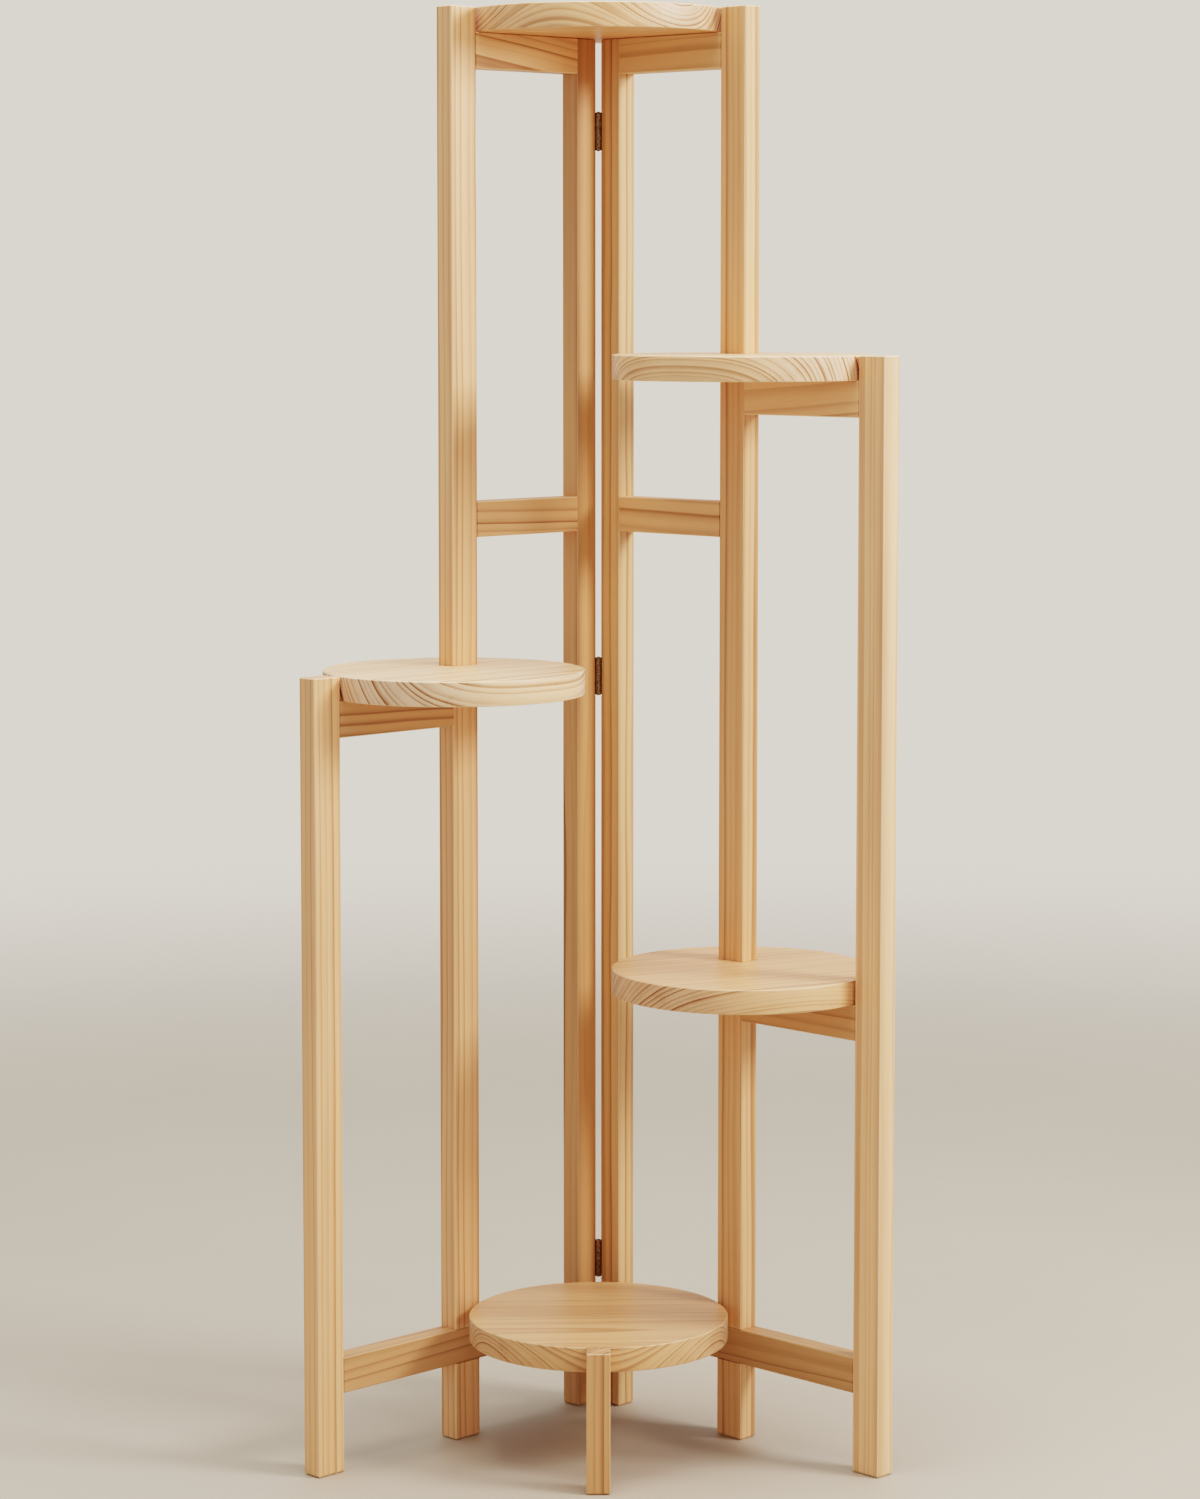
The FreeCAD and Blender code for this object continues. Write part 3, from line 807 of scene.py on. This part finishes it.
# name: (grain in degrees from sideways, (pith beside the grain, pith up), ring, wander,
#        lines, tint, seed)
# the tints are partly each board's own tone and partly painted light and shade: the left
# and right upper shelves are made paler, and the bottom one darker
SHELVES = {
    "top_shelf": (-17, (-64, 33), 3.8, 3.0, 1.0, (1.05, 1.05, 1.06), 31.0),
    "right_upper_shelf": (-32, (-131, -48), 4.8, 3.0, 1.0, (1.08, 1.12, 1.16), 37.0),
    "left_shelf": (45, (-115, 67), 5.8, 3.0, 1.0, (1.13, 1.24, 1.37), 43.0),
    "right_lower_shelf": (25, (-200, -240), 4.2, 3.5, 0.88, (0.99, 0.97, 0.965), 49.0),
    "bottom_shelf": (3, (-58, -38), 3.8, 3.0, 0.8, (0.885, 0.855, 0.81), 55.0),
}


def post_in_plan(name, side):
    """Where a post stands: its two ends along its wing, and its outer and inner face."""
    spots = [v.co - hinge_axis for v in nodes[name].data.vertices]
    along = [s.dot(ALONG[side]) for s in spots]
    inward = [s.dot(INWARD[side]) for s in spots]
    return min(along), max(along), min(inward), max(inward)


def mortise_for_post(side, low, high):
    """The hole in a side shelf that its wing's middle post passes through."""
    start, end, back, face = post_in_plan(f"{side}_middle_post", side)
    middle = hinge_axis + ALONG[side] * (start + end) / 2 + INWARD[side] * (back + face) / 2
    middle.z = (low.z + high.z) / 2
    size = (end - start + 2 * MORTISE_FIT, face - back + 2 * MORTISE_FIT,
            2 * (high.z - low.z))
    return middle, size, math.atan2(ALONG[side].y, ALONG[side].x)


def housing_for_leg(low, high):
    """The shallow housing in the bottom shelf's rim that the front leg is glued into."""
    leg_low, leg_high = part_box("front_leg")
    middle = (leg_low + leg_high) / 2
    middle.z = (low.z + high.z) / 2
    size = (leg_high.x - leg_low.x + 2 * HOUSING_FIT, leg_high.y - leg_low.y,
            2 * (high.z - low.z))
    return middle, size, 0.0


for name, (degrees, pith, ring, wander, lines, tone_and_painted_light, seed) in SHELVES.items():
    low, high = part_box(name)
    middle = (low + high) / 2
    radius = (high.x - low.x) / 2
    if name == "bottom_shelf":
        middle.y = high.y - radius  # its front is a millimetre short, at the leg
    grain = Vector((math.cos(math.radians(degrees)), math.sin(math.radians(degrees)), 0))
    values = {
        "Centre": middle, "Radius": radius, "Thickness": high.z - low.z, "Ease": SHELF_EASE,
        "Finish": pine(name + "_pine", middle, grain, UP, pith, ring, wander, lines, seed,
                       tone_and_painted_light, rounded=1.0),
    }
    cut = None
    if name == "bottom_shelf":
        cut = housing_for_leg(low, high)
    elif name != "top_shelf":
        cut = mortise_for_post(name.split("_")[0], low, high)
    if cut:
        values["Has Hole"] = True
        values["Hole Centre"], values["Hole Size"], values["Hole Turn"] = cut
    board = made_by(name + "_board", ROUND_SHELF, values)
    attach(board, body_of_node[name])
    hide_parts(name)
    faces = len(board.data.polygons)
    print(board.name, faces, "faces, radius", round(radius / MM, 1), "mm")

# %% [markdown]
# ## Metal
#
# The three butt hinges are antique brass: brown, with duller patches and brighter worn
# spots. The screws that hold the hinges match them, and those under the shelves are
# plain zinc. Both finishes are metals, so their colour is their reflection, and the
# roughness carries the story.

# %% The material of the metal parts
PATCHES_START, PATCHES_ARE_FULL = 0.38, 0.66
WORN_IS_SMOOTHER = -0.22
PITTING_STRENGTH = 0.25
PITTING_DEPTH = 0.05 * MM


def metal(name, bright, dull, rough, size):
    """Metal with bright worn patches; size is their number per millimetre."""
    material = bpy.data.materials.new(name)
    material.use_nodes = True
    tree = material.node_tree
    shader = tree.nodes["Principled BSDF"]
    own = place(tree, "ShaderNodeTexCoord").outputs["Object"]
    spot = place(
        tree, "ShaderNodeMapping", {"Vector": own, "Scale": (1 / MM,) * 3}
    ).outputs[0]
    patches = place(
        tree,
        "ShaderNodeTexNoise",
        {"Vector": spot, "Scale": size, "Detail": 4.0, "Roughness": 0.65},
    ).outputs[0]
    share = place(
        tree, "ShaderNodeMapRange", {0: patches, 1: PATCHES_START, 2: PATCHES_ARE_FULL}
    ).outputs[0]
    colour = blend_colours(tree, share, dull, bright)
    tree.links.new(colour, shader.inputs["Base Color"])
    roughness = figure(tree, "MULTIPLY_ADD", share, WORN_IS_SMOOTHER, rough)
    tree.links.new(roughness, shader.inputs["Roughness"])
    relief = place(
        tree,
        "ShaderNodeBump",
        {"Strength": PITTING_STRENGTH, "Distance": PITTING_DEPTH, "Height": patches},
    ).outputs[0]
    tree.links.new(relief, shader.inputs["Normal"])
    shader.inputs["Metallic"].default_value = 1.0
    return material


ANTIQUE_BRASS = metal(
    "antique_brass", (0.50, 0.37, 0.23, 1), (0.22, 0.145, 0.085, 1), 0.55, 0.55
)
ZINC = metal("zinc", (0.62, 0.62, 0.60, 1), (0.38, 0.38, 0.37, 1), 0.45, 0.8)
print("metals:", ANTIQUE_BRASS.name, ZINC.name)

# %% [markdown]
# ## Hinge leaves and pins
#
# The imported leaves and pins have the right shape, but their knuckles have flat sides.
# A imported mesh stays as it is, so each hinge part is copied. The copy's loose triangles
# are joined, its flat areas become single faces, and a narrow bevel breaks its corners
# so that they catch the light. A screw hole ends in a rim that is narrower than the
# bevel, so the edges beside such tiny faces are left out.

# %% The hinges' smooth copies
SAME_POINT = 0.002 * MM
SAME_PLANE = math.radians(1)
CORNER = math.radians(50)
SHARP = math.radians(32)
HINGE_BEVEL = 0.06 * MM
NARROW_FACE = 0.1 * MM**2


def smooth_metal_copy(name, material):
    """A joined and softened copy of a packed metal part, in its place."""
    mesh = nodes[name].data.copy()
    work = bmesh.new()
    work.from_mesh(mesh)
    bmesh.ops.remove_doubles(work, verts=work.verts, dist=SAME_POINT)
    bmesh.ops.dissolve_limit(
        work, angle_limit=SAME_PLANE, verts=work.verts, edges=work.edges
    )
    bmesh.ops.recalc_face_normals(work, faces=work.faces)
    corners = [
        edge for edge in work.edges
        if edge.calc_face_angle(0) > CORNER
        and min(face.calc_area() for face in edge.link_faces) > NARROW_FACE
    ]
    bmesh.ops.bevel(
        work, geom=corners, offset=HINGE_BEVEL, offset_type="OFFSET", segments=1,
        profile=0.5, affect="EDGES", clamp_overlap=True,
    )
    for face in work.faces:
        face.smooth = True
    work.to_mesh(mesh)
    work.free()
    mesh.materials.clear()
    mesh.materials.append(material)
    mesh.set_sharp_from_angle(angle=SHARP)
    piece = bpy.data.objects.new(name + "_worn", mesh)
    bpy.context.scene.collection.objects.link(piece)
    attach(piece, body_of_node[name])
    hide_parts(name)
    return piece


for place_name in ("upper", "middle", "lower"):
    for part in ("left_leaf", "right_leaf", "pin"):
        made = smooth_metal_copy(f"{place_name}_hinge_{part}", ANTIQUE_BRASS)
        print(made.name, len(made.data.polygons), "faces")

# %% [markdown]
# ## Screws
#
# Twelve small screws hold the hinge leaves and six longer ones come up through the rails
# into the side shelves. They repeat, so Geometry Nodes set one screw on each marked
# point: a head, a slot or a cross cut into it, and a tapering shank. The two bars of a
# cross overlap, so they are made one solid before they cut, as a boolean expects.

# %% One screw
HEAD_SIDES, SHANK_SIDES = 24, 16
TIP_SHARE = 0.35  # of the shank's radius


def one_solid(tree, *parts):
    """The solid that several solids make together."""
    whole = place(tree, "GeometryNodeMeshBoolean", operation="UNION", solver="EXACT")
    for part in parts:
        tree.links.new(part, whole.inputs["Mesh 2"])
    return whole.outputs["Mesh"]


def screw_body(tree, given):
    """A conical head with its face down, and a shank that starts inside it."""
    head = place(
        tree,
        "GeometryNodeMeshCone",
        {"Vertices": HEAD_SIDES, "Radius Top": given["Neck Radius"],
         "Radius Bottom": given["Head Radius"], "Depth": given["Head Height"]},
        fill_type="NGON",
    ).outputs["Mesh"]
    tip = figure(tree, "MULTIPLY", given["Shank Radius"], TIP_SHARE)
    shank = place(
        tree,
        "GeometryNodeMeshCone",
        {"Vertices": SHANK_SIDES, "Radius Top": tip, "Radius Bottom": given["Shank Radius"],
         "Depth": given["Length"]},
        fill_type="NGON",
    ).outputs["Mesh"]
    start = figure(tree, "MULTIPLY", given["Head Height"], 0.5)
    start = place(tree, "ShaderNodeCombineXYZ", {2: start}).outputs[0]
    shank = place(
        tree, "GeometryNodeTransform", {0: shank, "Translation": start}
    ).outputs[0]
    return one_solid(tree, head, shank)


def slot_or_cross(tree, given):
    """What is cut out of a screw's head."""
    deep = figure(tree, "MULTIPLY", given["Slot Depth"], 2.0)
    size = place(
        tree,
        "ShaderNodeCombineXYZ",
        {0: given["Slot Length"], 1: given["Slot Width"], 2: deep},
    ).outputs[0]
    slot = place(tree, "GeometryNodeMeshCube", {"Size": size}).outputs["Mesh"]
    crossed = place(
        tree, "GeometryNodeTransform", {0: slot, "Rotation": (0, 0, math.radians(90))}
    ).outputs[0]
    return chosen(tree, given["Cross"], slot, one_solid(tree, slot, crossed))


print("a screw's head has", HEAD_SIDES, "sides and its shank", SHANK_SIDES)

# %% [markdown]
# ## Setting the screws
#
# One screw is enough: the tree sets an instance of it on every point, upright to the
# driving direction. Each is then turned about itself by a different amount, as screws
# end up, with a fixed seed, so that every run gives the same turns.


# %% The tree that sets screws
def screw_tree():
    """The geometry tree that sets a screw on each point, with named sizes."""
    tree, given, result = new_group(
        "wood_screws",
        "GeometryNodeTree",
        (
            ("Geometry", "NodeSocketGeometry", None),
            ("Direction", "NodeSocketVector", None),
            ("Head Radius", "NodeSocketFloat", 0.002),
            ("Neck Radius", "NodeSocketFloat", 0.001),
            ("Head Height", "NodeSocketFloat", 0.001),
            ("Shank Radius", "NodeSocketFloat", 0.001),
            ("Length", "NodeSocketFloat", 0.01),
            ("Slot Width", "NodeSocketFloat", 0.0006),
            ("Slot Depth", "NodeSocketFloat", 0.0006),
            ("Slot Length", "NodeSocketFloat", 0.01),
            ("Cross", "NodeSocketBool", False),
            ("Seed", "NodeSocketInt", 1),
            ("Finish", "NodeSocketMaterial", None),
        ),
        (("Geometry", "NodeSocketGeometry"),),
    )
    screw = cut_from(tree, screw_body(tree, given), slot_or_cross(tree, given))
    upright = place(
        tree, "FunctionNodeAlignRotationToVector", {"Vector": given["Direction"]}, axis="Z"
    ).outputs[0]
    set_in = place(
        tree,
        "GeometryNodeInstanceOnPoints",
        {"Points": given["Geometry"], "Instance": screw, "Rotation": upright},
    ).outputs[0]
    luck = place(
        tree,
        "FunctionNodeRandomValue",
        {2: 0.0, 3: math.radians(180), "Seed": given["Seed"]},
        data_type="FLOAT",
    ).outputs[1]
    twist = place(tree, "ShaderNodeCombineXYZ", {2: luck}).outputs[0]
    set_in = place(
        tree,
        "GeometryNodeRotateInstances",
        {0: set_in, "Rotation": twist, "Local Space": True},
    ).outputs[0]
    finished(tree, given, set_in, result)
    return tree


WOOD_SCREWS = screw_tree()
print("screw tree:", len(WOOD_SCREWS.nodes), "nodes")

# %% [markdown]
# ## Where the screws go
#
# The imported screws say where. Their corners are sorted into one group for each screw:
# by place across the driving direction first, and then along it, because the right
# wing's shelves hold screws one above the other. The lowest corners along the driving
# direction are the head's face.

# %% Where the screws go
SCREW_WIDTH = 9 * MM  # corners closer than this, across the screw, are on one line
NEXT_SCREW = 60 * MM  # a longer step along the line starts the next screw
SAME_FACE = 0.01 * MM


def screws_on_one_line(corners, direction):
    """Splits corners, sorted along a line, where a new screw starts."""
    group = []
    for corner in corners:
        if group and (corner - group[-1]).dot(direction) > NEXT_SCREW:
            yield group
            group = []
        group.append(corner)
    yield group


def screw_heads(name, direction):
    """The middle of each screw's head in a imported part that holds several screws."""
    corners = {tuple(round(c / MM, 3) for c in v.co) for v in nodes[name].data.vertices}
    corners = [Vector(c) * MM for c in sorted(corners)]
    lines = []
    for corner in corners:
        flat = corner - direction * corner.dot(direction)
        for line in lines:
            if (line[0] - flat).length < SCREW_WIDTH:
                line[1].append(corner)
                break
        else:
            lines.append((flat, [corner]))
    heads = []
    for _, members in lines:
        members.sort(key=lambda c: c.dot(direction))
        for group in screws_on_one_line(members, direction):
            first = group[0].dot(direction)
            face = [c for c in group if c.dot(direction) < first + SAME_FACE]
            heads.append(sum(face, Vector()) / len(face))
    return heads


print("left hinge screws:", len(screw_heads("left_hinge_screws", ALONG["left"])))

# %% [markdown]
# ## Two kinds of screws
#
# The hinges have slotted screws in the hinges' own brass, and the shelves are held by
# longer ones with a cross, in plain zinc. Two tables hold their sizes, so that one
# function can set both kinds on both wings.

# %% The screws
HINGE_SCREW = {
    "Head Radius": 2.4 * MM, "Neck Radius": 1.25 * MM, "Head Height": 1.15 * MM,
    "Shank Radius": 1.2 * MM, "Length": 13.4 * MM,
    "Slot Width": 0.6 * MM, "Slot Depth": 0.7 * MM, "Slot Length": 10 * MM,
    "Finish": ANTIQUE_BRASS,
}
SHELF_SCREW = {
    "Head Radius": 3.8 * MM, "Neck Radius": 3.5 * MM, "Head Height": 2.6 * MM,
    "Shank Radius": 1.95 * MM, "Length": 34.3 * MM,
    "Slot Width": 1.0 * MM, "Slot Depth": 1.4 * MM, "Slot Length": 4.4 * MM,
    "Cross": True, "Finish": ZINC,
}
HINGE_SCREW_SEED, SHELF_SCREW_SEED = 3, 7


def set_screws(name, ending, sizes, direction, seed):
    """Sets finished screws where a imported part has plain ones."""
    heads = screw_heads(name, direction)
    values = {**sizes, "Direction": direction, "Seed": seed}
    screws = made_by(name + ending, WOOD_SCREWS, values, heads)
    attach(screws, body_of_node[name])
    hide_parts(name)
    print(screws.name, "at", len(heads), "places")


for number, side in enumerate(("left", "right")):
    seed = HINGE_SCREW_SEED + number
    set_screws(f"{side}_hinge_screws", "_slotted", HINGE_SCREW, ALONG[side], seed)
    seed = SHELF_SCREW_SEED + number
    set_screws(f"{side}_shelf_screws", "_crossed", SHELF_SCREW, UP, seed)

# %% [markdown]
# ## The studio
#
# The stand is shown on a plain pale floor. A large plane would end in a hard horizon, so
# the floor is a disc that fades out with distance. It is not part of the stand.

# %% The floor
FLOOR_RADIUS = 5.0  # metres, as all lengths of the studio are
FLOOR_SIDES = 96
FADE_STARTS, FADE_ENDS = 0.9, 4.2
FLOOR_DARK = (0.53, 0.46, 0.37, 1)
FLOOR_LIGHT = (0.57, 0.50, 0.41, 1)
FLOOR_ROUGHNESS = 0.6

floor_mesh = bpy.data.meshes.new("floor")
work = bmesh.new()
bmesh.ops.create_circle(work, cap_ends=True, segments=FLOOR_SIDES, radius=FLOOR_RADIUS)
work.to_mesh(floor_mesh)
work.free()
floor = bpy.data.objects.new("floor", floor_mesh)
bpy.context.scene.collection.objects.link(floor)
floor_paint = bpy.data.materials.new("floor_paint")
floor_paint.use_nodes = True
tree = floor_paint.node_tree
shader = tree.nodes["Principled BSDF"]
own = place(tree, "ShaderNodeTexCoord").outputs["Object"]
away = vector_figure(tree, "LENGTH", own)
seen = place(
    tree,
    "ShaderNodeMapRange",
    {0: away, 1: FADE_STARTS, 2: FADE_ENDS, 3: 1.0, 4: 0.0},
    interpolation_type="SMOOTHERSTEP",
).outputs[0]
tree.links.new(seen, shader.inputs["Alpha"])
mottle = place(
    tree, "ShaderNodeTexNoise", {"Vector": own, "Scale": 3.0, "Detail": 2.0}
).outputs[0]
paint = blend_colours(tree, mottle, FLOOR_DARK, FLOOR_LIGHT)
tree.links.new(paint, shader.inputs["Base Color"])
shader.inputs["Roughness"].default_value = FLOOR_ROUGHNESS
floor.data.materials.append(floor_paint)
print("floor radius", FLOOR_RADIUS, "m")

# %% [markdown]
# ## The lamps
#
# In the picture the stand is lit from the right: the faces that look right are nearly
# white, and those that look left are warm. A small soft lamp, low at the right, does the
# same. A large lamp overhead lights the shelves' tops and the floor.


# %% The lamps
def soft_lamp(name, azimuth, elevation, distance, size, power, colour, aim):
    """A square area lamp. Azimuth is in degrees from the front towards the right."""
    lamp = bpy.data.lights.new(name, "AREA")
    lamp.shape = "SQUARE"
    lamp.size = size
    lamp.energy = power
    lamp.color = colour
    holder = bpy.data.objects.new(name, lamp)
    a, e = math.radians(azimuth), math.radians(elevation)
    way = Vector((math.sin(a) * math.cos(e), -math.cos(a) * math.cos(e), math.sin(e)))
    holder.location = Vector(aim) + way * distance
    holder.rotation_euler = (-way).to_track_quat("-Z", "Y").to_euler()
    bpy.context.scene.collection.objects.link(holder)
    return holder


soft_lamp("key", 68, 16, 2.2, 0.7, 32, (1.0, 0.99, 1.0), aim=(0, 0, 1.1))
soft_lamp("top", 0, 85, 2.6, 2.0, 56, (1.0, 1.0, 0.98), aim=(0, 0, 0.75))

# %% [markdown]
# ## The air
#
# The air lights the stand evenly in white, which fills the shade. The camera sees another
# colour behind the stand, a warm pale grey, so that the light doesn't depend on it.
# The contrasty view gives the pine the depth of colour that it has in the picture.

# %% The air and the view
AIR_STRENGTH = 0.45
BACKDROP = (0.76, 0.70, 0.61, 1)

air = bpy.data.worlds.new("air")
bpy.context.scene.world = air
air.use_nodes = True
tree = air.node_tree
tree.nodes.clear()
glow = place(
    tree, "ShaderNodeBackground", {"Color": (1, 1, 1, 1), "Strength": AIR_STRENGTH}
)
backdrop = place(tree, "ShaderNodeBackground", {"Color": BACKDROP, "Strength": 1.0})
to_camera = place(tree, "ShaderNodeLightPath").outputs["Is Camera Ray"]
mixed = place(
    tree, "ShaderNodeMixShader", {0: to_camera, 1: glow.outputs[0], 2: backdrop.outputs[0]}
)
place(tree, "ShaderNodeOutputWorld", {0: mixed.outputs[0]})
bpy.context.scene.view_settings.view_transform = "Filmic"
bpy.context.scene.view_settings.look = "Very High Contrast"
print("air", AIR_STRENGTH, "view", bpy.context.scene.view_settings.view_transform)
